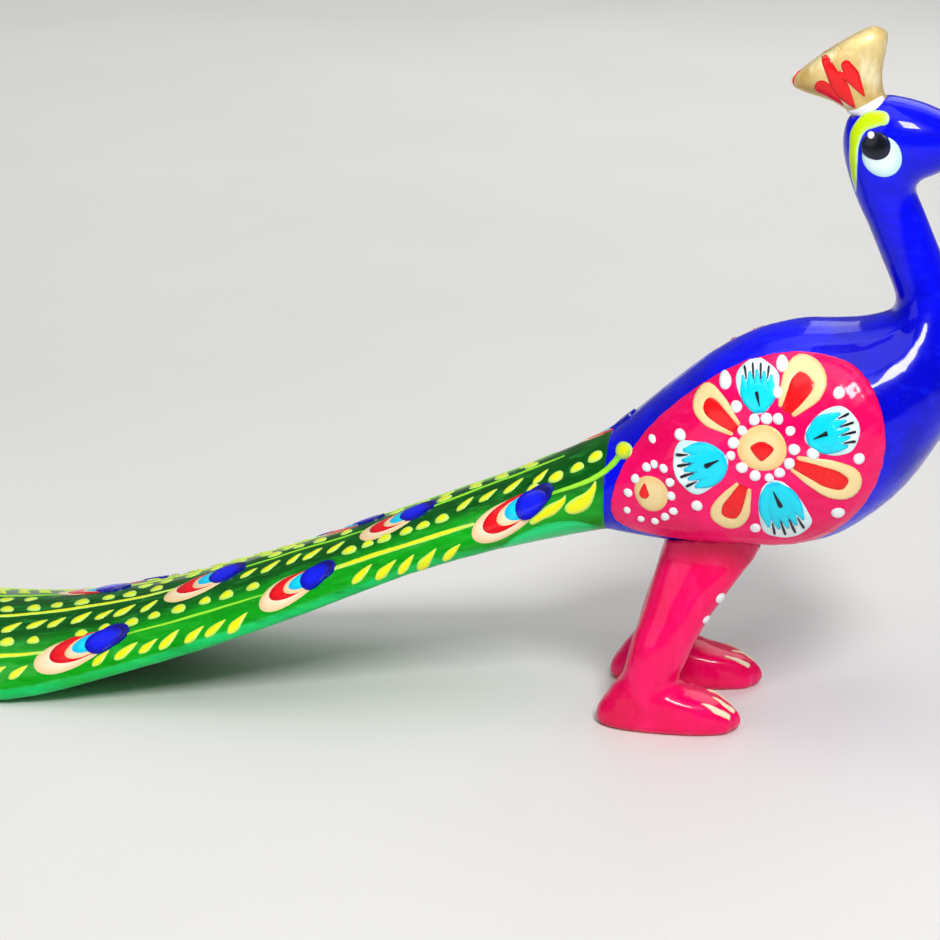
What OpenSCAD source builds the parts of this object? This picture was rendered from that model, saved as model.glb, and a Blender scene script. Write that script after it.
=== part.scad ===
// Painted peacock figure, carved in soft wood and put together from pegged and glued pieces.
// X runs from tail to beak, Y to the bird's left and Z up, with the table at Z = 0.

/* [Torso] */
// Length of the torso from the tail joint to the breast
torso_l = 54; // [45:0.5:65]
// Depth of the torso from back to belly
torso_h = 35.5; // [30:0.5:43]
// Width of the torso without its wings
torso_w = 33; // [28:0.5:40]
// Height of the belly above the table
belly_z = 28.9; // [25:0.1:34]
// Width of the torso's rear face, where the tail joins
rump_w = 19.5; // [16:0.5:24]

/* [Neck and head] */
// Height from the back to the crown of the head
neck_h = 34.5; // [29:0.5:42]
// Thickness of the neck from front to back, at its thinnest
neck_t = 9.1; // [7.5:0.1:11]
// Width of the neck across the bird, at its thinnest
neck_w = 9.6; // [7.5:0.1:11.5]
// Depth of the head from crown to throat
head_d = 14.6; // [12:0.1:17.5]
// Width of the head across the eyes
head_w = 12.6; // [10:0.1:15]
// Length of the beak in front of the head
beak_l = 8.6; // [7:0.1:11]

/* [Crest] */
// Height of the crest along its own axis
crest_h = 8.6; // [7:0.1:10.5]
// Length of the crest's flared top, front to back
crest_l = 16; // [13:0.1:19]
// Thickness of the crest's flared top
crest_t = 7.4; // [6.2:0.1:9]
// Angle by which the crest leans back from upright
crest_lean = 33; // [28:1:40]

/* [Tail] */
// Length of the tail from its joint to the tip of its middle feather
tail_l = 132; // [110:1:160]
// Width of the tail where it is widest
tail_w = 45; // [38:0.5:54]
// Thickness of the tail where it lies on the table
tail_t = 9.6; // [8:0.1:11.6]
// Depth of the notches between the feather tips
feather_notch = 5; // [3:0.5:7]

/* [Legs] */
// Distance between the centres of the feet
foot_gap = 19; // [16:0.5:23]
// Length of each foot from heel to toe
foot_l = 22.8; // [19:0.1:27]
// Extra length of the left foot's toes
left_toe_more = 2.2; // [0:0.1:3]
// Width of each foot
foot_w = 9.6; // [8:0.1:11.5]
// Thickness of each leg from front to back, above the ankle
leg_t = 9.4; // [8:0.1:11]
// Width of each leg across the bird
leg_w = 8.6; // [7.5:0.1:10.5]
// Depth of the grooves between the toes, as a share of the foot's half length
toe_groove = 0.06; // [0.03:0.01:0.1]

/* [Wings] */
// Thickness of the carved wing panels
wing_t = 1.4; // [1:0.1:2]

/* [Pegs and fits] */
// Diameter of the peg that holds the neck
neck_peg_d = 3.2; // [2.4:0.1:4]
// Diameter of the pegs that hold the legs
leg_peg_d = 3; // [2.4:0.1:3.6]
// Diameter of the pegs that hold the tail
tail_peg_d = 3; // [2.4:0.1:3.6]
// Diameter of the peg that holds the crest
crest_peg_d = 2; // [1.6:0.1:2.5]
// Diameter of the brads that hold the wing panels
brad_d = 1; // [0.8:0.1:1.2]
// Glue space around each peg, and under each curved seat
glue_gap = 0.12; // [0.08:0.01:0.2]

/* [Fineness] */
// Number of flats round each carved section
section_sides = 40; // [32:4:48]

/* [Hidden] */
$fn = 48;

blue = "blue";
pink = "deeppink";
gold = "burlywood";
green = "forestgreen";
bare_wood = "wheat";
steel = "silver";

right = -1;
left = 1;

tail_joint_x = -13.5;               // rear face of the torso, measured from between the feet
nape_x = tail_joint_x + 0.785 * torso_l;
back_z = belly_z + torso_h;
beak_tip_x = nape_x + 9.4 + beak_l; // the head is set out from the nape, so the beak ends here
tail_tip_x = tail_joint_x - tail_l;
middle_x = (beak_tip_x + tail_tip_x) / 2;

// ---- Curves through a few chosen points ----

// Catmull-Rom curve between p1 and p2
function spline_span(p0, p1, p2, p3, t) =
    0.5 * (2 * p1 + (p2 - p0) * t + (2 * p0 - 5 * p1 + 4 * p2 - p3) * t * t
        + (3 * p1 - p0 - 3 * p2 + p3) * t * t * t);

// Value of an open curve through rows, where u counts rows from 0
function along(rows, u) =
    let (last = len(rows) - 1, i = min(floor(u), last - 1),
        before = i > 0 ? rows[i - 1] : 2 * rows[0] - rows[1],
        after = i + 2 <= last ? rows[i + 2] : 2 * rows[last] - rows[last - 1])
    spline_span(before, rows[i], rows[i + 1], after, u - i);

// Value of a closed curve through rows
function around(rows, u) =
    let (n = len(rows), i = floor(u))
    spline_span(rows[(i + n - 1) % n], rows[i % n], rows[(i + 1) % n], rows[(i + 2) % n], u - i);

// Rounded-square version of a sine or cosine: power 2 is round, and more is squarer
function bulged(s, power) = sign(s) * pow(abs(s), 2 / power);

// ---- Solids from rings of points ----

// Closes a stack of rings, each of n points, into a solid. Its ends are flat faces, unless the last
// ring isn't flat, when far_end_in_strips closes it from side to side.
module ring_stack(rings, far_end_in_strips = false) {
    n = len(rings[0]);
    last = len(rings) - 1;
    sides = [
        for (i = [0:last - 1], j = [0:n - 1], half = [0, 1])
            let (k = (j + 1) % n)
            half == 0 ? [i * n + j, i * n + k, (i + 1) * n + k]
                      : [i * n + j, (i + 1) * n + k, (i + 1) * n + j]
    ];
    near_end = [[for (j = [n - 1:-1:0]) j]];
    far_end = far_end_in_strips
        ? [for (j = [0:n / 2 - 1], half = [0, 1])
            let (k = last * n + j, m = last * n + (n - j) % n, q = last * n + n - j - 1)
            half == 0 ? (j == 0 ? [] : [k, k + 1, m]) : (j == n / 2 - 1 ? [] : [k + 1, q, m])]
        : [[for (j = [0:n - 1]) last * n + j]];
    polyhedron(
        points = [for (r = rings) each r], faces = concat(sides, near_end, [for (f = far_end) if (len(f)) f]),
        convexity = 8
    );
}

// ---- Torso, neck and head: one run of sections from the tail joint to the tip of the beak ----
// Each row is [top x, top z, bottom x, bottom z, half width].

function torso_row(top, bottom, half_width) = [
    tail_joint_x + top[0] * torso_l, belly_z + top[1] * torso_h,
    tail_joint_x + bottom[0] * torso_l, belly_z + bottom[1] * torso_h, half_width
];

// A section of the neck or head: its centre from the nape, its lean, its depth and its half width
function neck_row(x, z, lean, depth, half_width) =
    let (cx = nape_x + x, cz = back_z + z * neck_h, ox = cos(lean) * depth / 2, oz = sin(lean) * depth / 2)
    [cx + ox, cz + oz, cx - ox, cz - oz, half_width];

bird_rows = [
    torso_row([0, 0.45], [0, 0.02], rump_w / 2),
    torso_row([0.13, 0.63], [0.12, 0], 0.39 * torso_w),
    torso_row([0.27, 0.81], [0.25, -0.01], 0.46 * torso_w),
    torso_row([0.40, 0.93], [0.39, 0], 0.49 * torso_w),
    torso_row([0.53, 0.99], [0.54, 0.01], 0.50 * torso_w),
    torso_row([0.63, 1.00], [0.675, 0.075], 0.49 * torso_w),
    torso_row([0.70, 1.01], [0.815, 0.245], 0.45 * torso_w),
    torso_row([0.75, 1.03], [0.915, 0.45], 0.39 * torso_w),
    torso_row([0.78, 1.055], [0.98, 0.66], 0.32 * torso_w),
    torso_row([0.79, 1.095], [0.995, 0.86], 0.25 * torso_w),
    neck_row(5.05, 0.105, 162, 1.16 * neck_t, 0.65 * neck_w),
    neck_row(3.0, 0.26, 176, 1.04 * neck_t, 0.55 * neck_w),
    neck_row(0.45, 0.425, 181, neck_t, 0.50 * neck_w),
    neck_row(-1.8, 0.565, 179, 1.03 * neck_t, 0.52 * neck_w),
    neck_row(-2.8, 0.65, 164, 0.75 * head_d, 0.46 * head_w),
    neck_row(-2.9, 0.72, 151, 0.90 * head_d, 0.49 * head_w),
    neck_row(-2.0, 0.785, 139, head_d, 0.50 * head_w),
    neck_row(0.5, 0.83, 128, 0.99 * head_d, 0.50 * head_w),
    neck_row(3.9, 0.838, 119, 0.79 * head_d, 0.45 * head_w),
    neck_row(7.0, 0.828, 111, 0.57 * head_d, 0.37 * head_w),
    neck_row(9.4, 0.814, 105, 0.40 * head_d, 0.27 * head_w),
    neck_row(9.4 + 0.5 * beak_l, 0.785, 100, 0.25 * head_d, 0.16 * head_w),
    neck_row(9.4 + 0.98 * beak_l, 0.73, 96, 0.06 * head_d, 0.04 * head_w)
];
neck_seam = 10;
beak_tip = len(bird_rows) - 1;

// Point on the bird's skin at section u, phi degrees up from the side, pushed out by grow
function skin(u, phi, grow = 0) =
    let (r = along(bird_rows, u), dx = (r[0] - r[2]) / 2, dz = (r[1] - r[3]) / 2, depth = norm([dx, dz]),
        rise = bulged(sin(phi), 2.15) * (1 + grow / depth), out = bulged(cos(phi), 2.15) * (r[4] + grow))
    [(r[0] + r[2]) / 2 + rise * dx, out, (r[1] + r[3]) / 2 + rise * dz];

function skin_ring(u, grow) = [for (j = [0:section_sides - 1]) skin(u, 360 * j / section_sides, grow)];

// The run of sections from row a to row b, with the given number of rings in each row's stretch
module bird_run(a, b, rings_each, grow = 0) {
    ring_stack([for (i = [0:(b - a) * rings_each]) skin_ring(a + i / rings_each, grow)]);
}

// ---- Pegs: each is a place, a direction and two reaches ----
// Each row is [point on the joint, direction, reach into the torso or head, reach into the other piece].

function centre_at(u) = (skin(u, 90) + skin(u, -90)) / 2;
function unit(v) = v / norm(v);

neck_peg_line = [
    centre_at(neck_seam), unit(centre_at(neck_seam + 0.5) - centre_at(neck_seam - 0.5)), 8, 8
];
crest_sink = 1.3;     // depth of the flat seat below the crown
crest_axis = [-sin(crest_lean), 0, cos(crest_lean)];
crest_peg_line = [skin(16.6, 90) - crest_sink * crest_axis, crest_axis, 4, 5];

tail_peg_slope = 14;
function tail_peg_line(side) = [
    [tail_joint_x, side * 0.2 * rump_w, belly_z + 0.225 * torso_h],
    [-cos(tail_peg_slope), 0, -sin(tail_peg_slope)], 9, 7
];

module along_line(line) {
    direction = line[1];
    translate(line[0])
        rotate([0, acos(direction[2]), atan2(direction[1], direction[0])])
            children();
}

module peg(line, d) {
    color(bare_wood) along_line(line) translate([0, 0, -line[2]])
        cylinder(d = d, h = line[2] + line[3]);
}

module peg_hole(line, d) {
    along_line(line) translate([0, 0, -line[2] - glue_gap])
        cylinder(d = d + 2 * glue_gap, h = line[2] + line[3] + 2 * glue_gap);
}

// ---- Wings: a drop-shaped panel that lies on the torso's skin ----

// Outline as [section, degrees up from the side], from the rear tip over the top and back below
wing_outline = [
    [0.2, -3], [0.8, 43], [2.05, 57], [4.0, 57], [5.5, 46], [6.2, 22], [6.2, -8], [5.4, -40],
    [4.0, -55], [2.3, -49], [0.6, -34]
];
wing_middle = [3.4, 2];
wing_ring_count = 9;

function wing_place(turn, out) =
    wing_middle + (around(wing_outline, turn * len(wing_outline)) - wing_middle) * out;

function wing_point(side, turn, out, height) =
    let (place = wing_place(turn, out), p = skin(place[0], place[1], height))
    [p[0], side * p[1], p[2]];

// One face of the panel, from its middle outwards, with the edge rounded off
function wing_face(side, lift, thickness, spread) = [
    for (i = [1:wing_ring_count])
        let (out = i / wing_ring_count)
        [for (j = [0:section_sides - 1])
            wing_point(side, j / section_sides, out * spread, lift + thickness * (1 - 0.5 * pow(out, 8)))]
];

module wing_panel(side, grow = 0) {
    lower = wing_face(side, glue_gap - grow, 0, 1 + 0.02 * sign(grow));
    upper = wing_face(side, glue_gap + grow, wing_t, 1 + 0.02 * sign(grow));
    last = wing_ring_count - 1;
    rings = concat([for (i = [0:last]) lower[i]], [for (i = [last:-1:0]) upper[i]]);
    ring_stack(rings);
}

function brad_line(side, u, phi) =
    let (on = skin(u, phi), off = skin(u, phi, 1), out = unit(off - on))
    [[on[0], side * on[1], on[2]], [out[0], side * out[1], out[2]], 6, glue_gap + wing_t - 0.3];

function brad_lines(side) = [brad_line(side, 1.6, 4), brad_line(side, 5.0, 8)];

module wing(side) {
    color(pink) difference() {
        wing_panel(side);
        for (line = brad_lines(side)) peg_hole(line, brad_d - 2 * glue_gap + 0.04);
    }
}

module wing_brads(side) {
    color(steel) for (line = brad_lines(side)) along_line(line) translate([0, 0, -line[2]])
        cylinder(d = brad_d, h = line[2] + line[3]);
}

// ---- Legs ----
// Each row is [z, rear x, front x, half width, y, share of the toe grooves].

sole_inset = 0.7;
sole_round = 0.9;
heel_x = tail_joint_x - 0.6;
hip_y = torso_w / 6;     // the legs meet the belly inside the lower edges of the wings
hip_w = 0.26 * torso_w;
leg_sides = 2 * floor(section_sides / 2.4);

function leg_rows(side) =
    let (foot_y = foot_gap / 2, rise = belly_z,
        toe_x = heel_x + foot_l + (side == left ? left_toe_more : 0))
    [
        [0, heel_x + sole_inset, toe_x - sole_inset, foot_w / 2 - sole_inset, foot_y, 0.8],
        [sole_round, heel_x, toe_x, foot_w / 2, foot_y, 1],
        [0.09 * rise, heel_x + 0.3, toe_x - 0.2, foot_w / 2, foot_y, 1],
        [0.165 * rise, heel_x + 1.7, toe_x - 0.13 * foot_l, 0.49 * foot_w, foot_y, 0.7],
        [0.215 * rise, heel_x + 2.6, toe_x - 0.35 * foot_l, 0.46 * foot_w, foot_y, 0.2],
        [0.28 * rise, heel_x + 4, heel_x + 0.2 + 0.56 * foot_l, 0.44 * foot_w, foot_y, 0],
        [0.37 * rise, heel_x + 4.7, heel_x + 4.6 + leg_t, leg_w / 2, foot_y, 0],
        [0.5 * rise, heel_x + 5.6, heel_x + 6.1 + leg_t, leg_w / 2, 0.9 * foot_y + 0.1 * hip_y, 0],
        [0.65 * rise, heel_x + 7, heel_x + 7.5 + 1.1 * leg_t, 0.52 * leg_w, 0.6 * foot_y + 0.4 * hip_y, 0],
        [0.82 * rise, heel_x + 8.3, heel_x + 9.4 + 1.25 * leg_t, 0.5 * leg_w, 0.3 * foot_y + 0.7 * hip_y, 0],
        [0.94 * rise, heel_x + 9.3, heel_x + 10.8 + 1.38 * leg_t, hip_w / 2, hip_y, 0]
    ];

function leg_ring(side, u) =
    let (r = along(leg_rows(side), u), a = (r[2] - r[1]) / 2)
    [for (j = [0:leg_sides - 1])
        let (turn = 360 * j / leg_sides, off = turn > 180 ? 360 - turn : turn, power = u < 4 ? 2.5 : 2.2,
            groove = off < 60 ? r[5] * toe_groove * (1 - cos(9 * off)) / 2 : 0)
        [(r[1] + r[2]) / 2 + a * (1 - groove) * bulged(cos(turn), power),
            side * (r[4] + r[3] * bulged(sin(turn), power)), r[0]]];

// Point on the belly above (x, y), lowered by the glue space, found by halving the run of sections
function belly_point(x, y, low = 0, high = 6, halvings = 16) =
    let (u = (low + high) / 2, r = along(bird_rows, u), share = min(1, abs(y) / (r[4] + glue_gap)),
        p = skin(u, -acos(pow(share, 2.15 / 2)), glue_gap))
    halvings == 0 ? [x, y, p[2]]
                  : p[0] < x ? belly_point(x, y, u, high, halvings - 1)
                             : belly_point(x, y, low, u, halvings - 1);

// Ring of the leg's seat, which lies along the belly; the last one is flat and closes it
function seat_ring(side, scale) =
    let (rear = heel_x + 10, front = heel_x + 11.4 + 1.44 * leg_t, middle = (rear + front) / 2)
    [for (j = [0:leg_sides - 1])
        let (turn = 360 * j / leg_sides,
            x = middle + scale * (front - rear) / 2 * bulged(cos(turn), 2.2),
            y = side * (hip_y + scale * hip_w / 2 * bulged(sin(turn), 2.2)))
        belly_point(x, y)];

module leg_blank(side) {
    last = len(leg_rows(side)) - 1;
    ring_stack(concat(
        [for (i = [0:last * 2]) leg_ring(side, i / 2)],
        [for (i = [6:-1:1]) seat_ring(side, i / 6)]
    ));
}

function leg_peg_line(side) =
    let (top = [4.2, side * hip_y, belly_z + 0.1 * torso_h], foot = [-2, side * (hip_y + 1.4), 0.62 * belly_z],
        up = unit(top - foot))
    [top, -up, 6, 8];

module leg(side) {
    color(pink) difference() {
        leg_blank(side);
        peg_hole(leg_peg_line(side), leg_peg_d);
    }
}

// ---- Tail: a long fan of feathers carved in one plank, resting on its last third ----
// Each row is [share of the length, top z, underside z, half width, roundness of the top,
// squareness of the underside, share of the thickness below the widest line].

tail_rows = [
    [0, belly_z + 0.45 * torso_h, belly_z + 0.02 * torso_h, 0.5 * rump_w, 2.15, 2.15, 0.5],
    [0.045, belly_z + 0.365 * torso_h, belly_z - 0.01 * torso_h, 0.51 * rump_w, 2.1, 2.3, 0.46],
    [0.12, belly_z + 0.23 * torso_h, belly_z - 0.06 * torso_h, 0.57 * rump_w, 1.9, 2.8, 0.36],
    [0.23, 1.07 * belly_z, 0.79 * belly_z, 0.293 * tail_w, 1.7, 3.6, 0.26],
    [0.35, 0.84 * belly_z, 0.565 * belly_z, 0.336 * tail_w, 1.6, 4.4, 0.21],
    [0.48, 0.62 * belly_z, 0.332 * belly_z, 0.38 * tail_w, 1.6, 4.8, 0.19],
    [0.58, tail_t + 0.137 * belly_z, 0.183 * belly_z, 0.415 * tail_w, 1.6, 5, 0.18],
    [0.68, tail_t + 0.035 * belly_z, 0.04 * belly_z, 0.45 * tail_w, 1.6, 5, 0.18],
    [0.75, 0.97 * tail_t, 0, 0.475 * tail_w, 1.6, 5, 0.18],
    [0.83, 0.88 * tail_t, 0, 0.495 * tail_w, 1.6, 5, 0.18],
    [0.91, 0.76 * tail_t, 0, 0.5 * tail_w, 1.6, 5, 0.19],
    [0.96, 0.64 * tail_t, 0, 0.495 * tail_w, 1.8, 5, 0.22],
    [0.99, 0.46 * tail_t, 0, 0.485 * tail_w, 2.4, 4, 0.3],
    [1, 0.28 * tail_t, 0.08 * tail_t, 0.475 * tail_w, 3, 3, 0.4]
];
tail_sides = 16 * floor(section_sides / 10);

// How far the plank's end stands back at y, a share of the half width: four rounded feather tips
function tip_setback(share) =
    let (side = abs(share), lobe = abs(side < 0.5 ? side - 0.25 : side - 0.75) / 0.25)
    feather_notch * (1 - sqrt(max(0, 1 - lobe * lobe))) + 0.5 * feather_notch * side * side;

function tail_ring(u) =
    let (r = along(tail_rows, u), thick = r[1] - r[2], edge_z = r[2] + r[6] * thick,
        taper = pow(max(0, (r[0] - 0.8) / 0.2), 2))
    [for (j = [0:tail_sides - 1])
        let (turn = 360 * j / tail_sides, upper = turn < 180, share = bulged(cos(turn), upper ? r[4] : r[5]),
            rise = upper ? (1 - r[6]) * thick * bulged(sin(turn), r[4])
                         : r[6] * thick * bulged(sin(turn), r[5]))
        [tail_joint_x - r[0] * tail_l + taper * tip_setback(share), r[3] * share, max(0, edge_z + rise)]];

module tail() {
    last = len(tail_rows) - 1;
    color(green) difference() {
        ring_stack([for (i = [0:last * 2]) tail_ring(i / 2)], far_end_in_strips = true);
        for (side = [right, left]) peg_hole(tail_peg_line(side), tail_peg_d);
    }
}

module tail_pegs() {
    for (side = [right, left]) peg(tail_peg_line(side), tail_peg_d);
}

// ---- Crest: a fan that flares from a round root, seated on the crown ----
// Each row is [share of the height, half length, half thickness].

crest_root = 2.95;     // radius of the root

crest_rows = [
    [0, crest_root, crest_root],
    [0.12, crest_root, crest_root],
    [0.38, 0.05 * crest_root + 0.26 * crest_l, 0.4 * crest_root + 0.25 * crest_t],
    [0.63, 0.40 * crest_l, 0.46 * crest_t],
    [0.82, 0.485 * crest_l, 0.5 * crest_t],
    [0.94, 0.47 * crest_l, 0.45 * crest_t],
    [0.99, 0.37 * crest_l, 0.32 * crest_t],
    [1, 0.2 * crest_l, 0.16 * crest_t]
];

function crest_ring(u) =
    let (r = along(crest_rows, u), power = 2 + 0.2 * min(1, u / 2))
    [for (j = [0:section_sides - 1])
        let (turn = 360 * j / section_sides)
        [r[1] * bulged(cos(turn), power), r[2] * bulged(sin(turn), power), r[0] * (crest_h + crest_sink)]];

module crest() {
    last = len(crest_rows) - 1;
    color(gold) difference() {
        along_line(crest_peg_line) translate([0, 0, glue_gap])
            rotate([0, 0, 180]) ring_stack([for (i = [0:last * 2]) crest_ring(i / 2)]);
        peg_hole(crest_peg_line, crest_peg_d);
    }
}

// ---- Carved pieces with their peg holes ----

module torso() {
    color(blue) difference() {
        bird_run(0, neck_seam, 3);
        peg_hole(neck_peg_line, neck_peg_d);
        for (side = [right, left]) {
            peg_hole(tail_peg_line(side), tail_peg_d);
            peg_hole(leg_peg_line(side), leg_peg_d);
            for (line = brad_lines(side)) peg_hole(line, brad_d - 2 * glue_gap + 0.04);
        }
    }
}

module neck_and_head() {
    color(blue) difference() {
        bird_run(neck_seam, beak_tip, 3);
        peg_hole(neck_peg_line, neck_peg_d);
        peg_hole(crest_peg_line, crest_peg_d);
        along_line(crest_peg_line) cylinder(r = crest_root + glue_gap, h = 6);
    }
}

translate([-middle_x, 0, 0]) {
    torso();
    neck_and_head();
    crest();
    tail();
    wing(right);  // wing_right
    wing(left);  // wing_left
    leg(right);  // leg_right
    leg(left);  // leg_left
    peg(neck_peg_line, neck_peg_d);  // neck_peg
    peg(crest_peg_line, crest_peg_d);  // crest_peg
    tail_pegs();
    peg(leg_peg_line(right), leg_peg_d);  // leg_peg_right
    peg(leg_peg_line(left), leg_peg_d);  // leg_peg_left
    wing_brads(right);  // wing_brads_right
    wing_brads(left);  // wing_brads_left
}
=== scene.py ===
import bpy, bmesh, math
import numpy as np
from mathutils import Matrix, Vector, noise
from mathutils.bvhtree import BVHTree


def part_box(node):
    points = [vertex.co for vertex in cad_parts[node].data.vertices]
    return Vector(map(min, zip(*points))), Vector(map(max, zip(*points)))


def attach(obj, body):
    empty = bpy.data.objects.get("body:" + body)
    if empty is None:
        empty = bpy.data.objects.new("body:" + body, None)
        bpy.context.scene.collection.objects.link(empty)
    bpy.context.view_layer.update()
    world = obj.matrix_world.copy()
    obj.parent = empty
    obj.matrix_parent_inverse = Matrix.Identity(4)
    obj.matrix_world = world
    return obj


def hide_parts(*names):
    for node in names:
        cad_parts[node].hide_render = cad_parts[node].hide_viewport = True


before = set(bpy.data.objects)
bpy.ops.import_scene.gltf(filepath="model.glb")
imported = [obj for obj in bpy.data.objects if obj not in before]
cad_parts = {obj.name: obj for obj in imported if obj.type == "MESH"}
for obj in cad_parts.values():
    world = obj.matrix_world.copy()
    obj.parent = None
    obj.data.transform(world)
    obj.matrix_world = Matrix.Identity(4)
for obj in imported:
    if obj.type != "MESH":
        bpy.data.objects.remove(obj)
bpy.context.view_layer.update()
mm = 0.001
scene = bpy.context.scene
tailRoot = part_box("tail")[1].x          # where the tail is glued on
hips = tailRoot + 13.5 * mm             # above the middle of the feet
print("frame loaded")

# camera
cameraLook = {"azimuth": 10, "elevation": 18, "distance": 0.4, "lens": 94.86,
              "left": 35.53 * mm, "up": 37.4 * mm}
turn, tilt = math.radians(cameraLook["azimuth"]), math.radians(cameraLook["elevation"])
back = Vector((math.sin(turn) * math.cos(tilt), -math.cos(turn) * math.cos(tilt), math.sin(tilt)))
right = Vector((math.cos(turn), math.sin(turn), 0))
lens = bpy.data.cameras.new("camera")
lens.lens, lens.clip_start, lens.clip_end = cameraLook["lens"], 0.01, 20
camera = bpy.data.objects.new("camera", lens)
camera.location = (Vector((hips, 0, 0)) + back * cameraLook["distance"]
                   - right * cameraLook["left"] + back.cross(right) * cameraLook["up"])
camera.rotation_euler = back.to_track_quat("Z", "Y").to_euler()
scene.collection.objects.link(camera)
scene.camera = camera

# soft studio light: a window-like panel in front, a wide overhead, a low fill and one behind
studio = {
    "window": {"azimuth": 24, "elevation": 47, "distance": 0.75, "size": (0.15, 0.21), "power": 4.4},
    "overhead": {"azimuth": -60, "elevation": 78, "distance": 0.9, "size": (0.9, 0.7), "power": 3.2},
    "fill": {"azimuth": -42, "elevation": 22, "distance": 1.0, "size": (0.7, 0.6), "power": 1.4},
    "behind": {"azimuth": 165, "elevation": 35, "distance": 0.9, "size": (0.6, 0.4), "power": 1.2},
}
for lampName, look in studio.items():
    lamp = bpy.data.lights.new(lampName, "AREA")
    lamp.shape, lamp.energy = "RECTANGLE", look["power"]
    lamp.size, lamp.size_y = look["size"]
    around, rise = math.radians(look["azimuth"]), math.radians(look["elevation"])
    away = Vector((math.sin(around) * math.cos(rise), -math.cos(around) * math.cos(rise), math.sin(rise)))
    hung = bpy.data.objects.new(lampName, lamp)
    hung.location = Vector((hips, 0, 40 * mm)) + away * look["distance"]
    hung.rotation_euler = away.to_track_quat("Z", "Y").to_euler()
    scene.collection.objects.link(hung)
# one more lamp hangs over the floor behind the bird and shines straight down
washLook = {"behind": 0.02, "beyond": 0.8, "height": 0.85, "size": (1.9, 0.9), "power": 3.4, "spread": 95}
wash = bpy.data.lights.new("floor_wash", "AREA")
wash.shape, wash.energy, wash.spread = "RECTANGLE", washLook["power"], math.radians(washLook["spread"])
wash.size, wash.size_y = washLook["size"]
hung = bpy.data.objects.new("floor_wash", wash)
hung.location = (hips - washLook["behind"], washLook["beyond"], washLook["height"])
scene.collection.objects.link(hung)
roomLook = {"colour": (0.86, 0.88, 0.92, 1), "strength": 0.15}
world = bpy.data.worlds.new("studio")
world.use_nodes = True
room = world.node_tree.nodes["Background"]
room.inputs["Color"].default_value = roomLook["colour"]
room.inputs["Strength"].default_value = roomLook["strength"]
scene.world = world
scene.view_settings.view_transform = "Standard"
print("camera and lights set")


# materials: Wire wraps one socket for sums, PaintPot builds one material
class Wire:
    def __init__(self, pot, socket):
        self.pot, self.socket = pot, socket

    def sum(self, operation, first, second):
        return self.pot.node("Math", {"operation": operation}, {0: first, 1: second})

    def __add__(self, other):
        return self.sum("ADD", self, other)

    def __radd__(self, other):
        return self.sum("ADD", other, self)

    def __sub__(self, other):
        return self.sum("SUBTRACT", self, other)

    def __rsub__(self, other):
        return self.sum("SUBTRACT", other, self)

    def __mul__(self, other):
        return self.sum("MULTIPLY", self, other)

    def __rmul__(self, other):
        return self.sum("MULTIPLY", other, self)


class PaintPot:
    def __init__(self, name):
        self.material = bpy.data.materials.new(name)
        self.material.use_nodes = True
        self.tree = self.material.node_tree
        self.tree.nodes.clear()
        self.place = self.node("TexCoord", out=3)

    # settings go on first, then the values and links of the sockets
    def node(self, kind, settings=None, sockets=None, out=0):
        made = self.tree.nodes.new("ShaderNode" + kind)
        for key, value in (settings or {}).items():
            setattr(made, key, value)
        for key, value in (sockets or {}).items():
            if isinstance(value, Wire):
                self.tree.links.new(value.socket, made.inputs[key])
            else:
                made.inputs[key].default_value = value
        return Wire(self, made.outputs[out]) if made.outputs else None

    def stretched(self, scale):
        return self.node("Mapping", {}, {"Vector": self.place, "Scale": scale})

    def clouds(self, scale, detail=3, rough=0.55, vector=None):
        return self.node("TexNoise", {}, {"Vector": vector or self.place, "Scale": scale,
                                          "Detail": detail, "Roughness": rough})

    def between(self, value, low, high):
        return self.node("MapRange", {"interpolation_type": "SMOOTHSTEP"},
                         {"Value": value, "From Min": low, "From Max": high})

    def mix(self, mask, first, second):
        colour = [value if isinstance(value, Wire) else tuple(value) + (1,) for value in (first, second)]
        return self.node("Mix", {"data_type": "RGBA"}, {0: mask, 6: colour[0], 7: colour[1]}, out=2)

    def painted(self, name):
        return self.node("Attribute", {"attribute_name": name}, out=2)

    # the finish itself: varying colour, roughness and height, constants on the shader's own sockets
    def coat(self, colour, roughness, height, look):
        bump = self.node("Bump", {}, {"Height": height, "Strength": look.get("bump", 0.25),
                                      "Distance": look.get("depth", 0.25) * mm})
        sockets = {"Base Color": colour, "Roughness": roughness, "Normal": bump, "IOR": 1.5,
                   "Coat Weight": look["coat"], "Coat Roughness": look.get("coatRough", 0.05),
                   "Metallic": look.get("metal", 0.0), "Specular IOR Level": look.get("gloss", 0.25)}
        shader = self.node("BsdfPrincipled", {}, sockets)
        self.node("OutputMaterial", {}, {"Surface": shader})
        return self.material


# brushed gloss enamel: uneven coverage, dragged bristle marks, fine orange peel and a little dust
def enamel(name, look, tint=None):
    pot = PaintPot(name)
    cover = pot.between(pot.clouds(look.get("cover", 90), 4), 0.32, 0.68)
    drag = pot.clouds(1, 3, 0.6, pot.stretched(look.get("drag", (110, 620, 620))))
    peel = pot.clouds(1300, 2, 0.5)
    dust = pot.node("TexVoronoi", {"feature": "F1"}, {"Vector": pot.place, "Scale": 420})
    speck = 1 - pot.between(dust, 0.05, 0.09)
    base = tint(pot) if tint else pot.mix(cover, look["deep"], look["base"])
    colour = pot.mix(pot.between(drag, 0.5, 0.74) * look.get("streak", 0.35), base, look["light"])
    colour = pot.mix(pot.between(drag, 0.5, 0.28) * look.get("thin", 0.3), colour, look["deep"])
    colour = pot.mix(speck * 0.25, colour, look["light"])
    roughness = look["rough"] + 0.12 * cover + 0.1 * (drag - 0.5) + 0.2 * speck
    height = drag * 0.5 + peel * 0.12 + cover * 0.5 + speck * 0.2
    return pot.coat(colour, roughness, height, look)


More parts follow.
